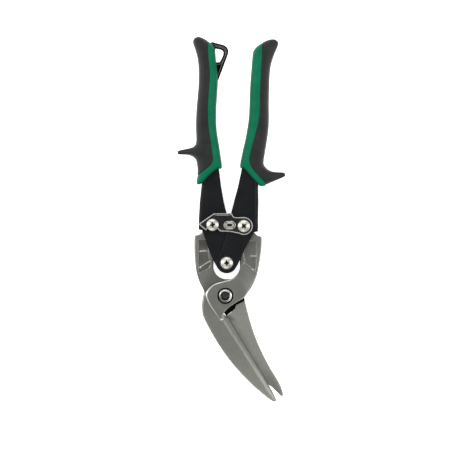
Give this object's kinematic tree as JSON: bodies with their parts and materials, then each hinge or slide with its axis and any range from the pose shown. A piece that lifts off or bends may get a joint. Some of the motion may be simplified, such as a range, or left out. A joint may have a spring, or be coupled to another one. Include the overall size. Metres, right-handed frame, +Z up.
{
  "type": "aviation snips",
  "caption": "Long-cut offset aviation snips with two-tone grips, stamped handles, forged jaws and a thumb latch, closed and latched.",
  "frame": {"origin": "on the main pivot's axis, on the back face of the pivot bolt's head, where the snips lie on a bench", "axes": "+Y from the blade tips towards the grips, along the tool; +X across it, towards the right handle; +Z up from the bench, out of the latch side"},
  "size_m": [0.0863, 0.2919, 0.0227],
  "materials": {
    "jaw_steel": "satin forged steel",
    "handle_steel": "satin black coat",
    "grip_dark": "fine matt texture",
    "grip_green": "smooth matt",
    "loop_plastic": "matt black",
    "nickel": "bright nickel plate",
    "zinc": "zinc plate",
    "black_steel": "black oxide",
    "latch_steel": "black with bright edges",
    "spring_steel": "bright spring wire",
    "bronze": "bronze bush"
  },
  "bodies": {
    "front_jaw": {"front_jaw": "jaw_steel", "main_bolt": "black_steel", "main_washer": "zinc", "main_locknut": "nickel", "opening_spring": "spring_steel"},
    "back_jaw": {"back_jaw": "jaw_steel"},
    "right_handle": {"right_handle_channel": "handle_steel", "right_grip_body": "grip_dark", "right_grip_inlay": "grip_green", "right_pivot_screw": "nickel", "right_pivot_nut": "zinc", "centre_screw": "nickel", "centre_washer": "black_steel", "centre_spacer": "zinc", "centre_nut": "zinc"},
    "left_handle": {"left_handle_channel": "handle_steel", "left_grip_body": "grip_dark", "left_grip_inlay": "grip_green", "hang_loop": "loop_plastic", "left_pivot_screw": "nickel", "left_screw_collar": "zinc", "left_pivot_nut": "zinc"},
    "latch_bush": {"latch_bush": "bronze"},
    "latch": {"latch_plate": "latch_steel", "latch_boss": "nickel"}
  },
  "joints": [
    {"name": "jaw_pivot", "type": "hinge", "parent": "front_jaw", "child": "back_jaw", "pos_m": [0, 0, 0.0102], "axis": [0, 0, 1], "range_deg": [0, 16], "deforming": ["opening_spring"]},
    {"name": "right_handle_pivot", "type": "hinge", "parent": "front_jaw", "child": "right_handle", "pos_m": [0.01473, 0.05569, 0.0102], "axis": [0, 0, 1], "range_deg": [-7.7, 0]},
    {"name": "left_handle_pivot", "type": "hinge", "parent": "back_jaw", "child": "left_handle", "pos_m": [-0.01025, 0.05668, 0.0102], "axis": [0, 0, 1], "range_deg": [0, 7.7]},
    {"name": "latch_release", "type": "hinge", "parent": "right_handle", "child": "latch_bush", "pos_m": [0.01473, 0.05569, 0.0172], "axis": [0, 0, 1], "range_deg": [-62.9, 0]},
    {"name": "latch_swing", "type": "hinge", "parent": "latch_bush", "child": "latch", "pos_m": [0.01473, 0.05569, 0.0172], "axis": [0, 0, -1], "range_deg": [0, 20]}
  ],
  "couplings": [
    {"joint": "right_handle_pivot", "follows": "jaw_pivot", "ratio": -0.478},
    {"joint": "left_handle_pivot", "follows": "jaw_pivot", "ratio": 0.478},
    {"joint": "latch_release", "follows": "jaw_pivot", "ratio": -3.922}
  ]
}
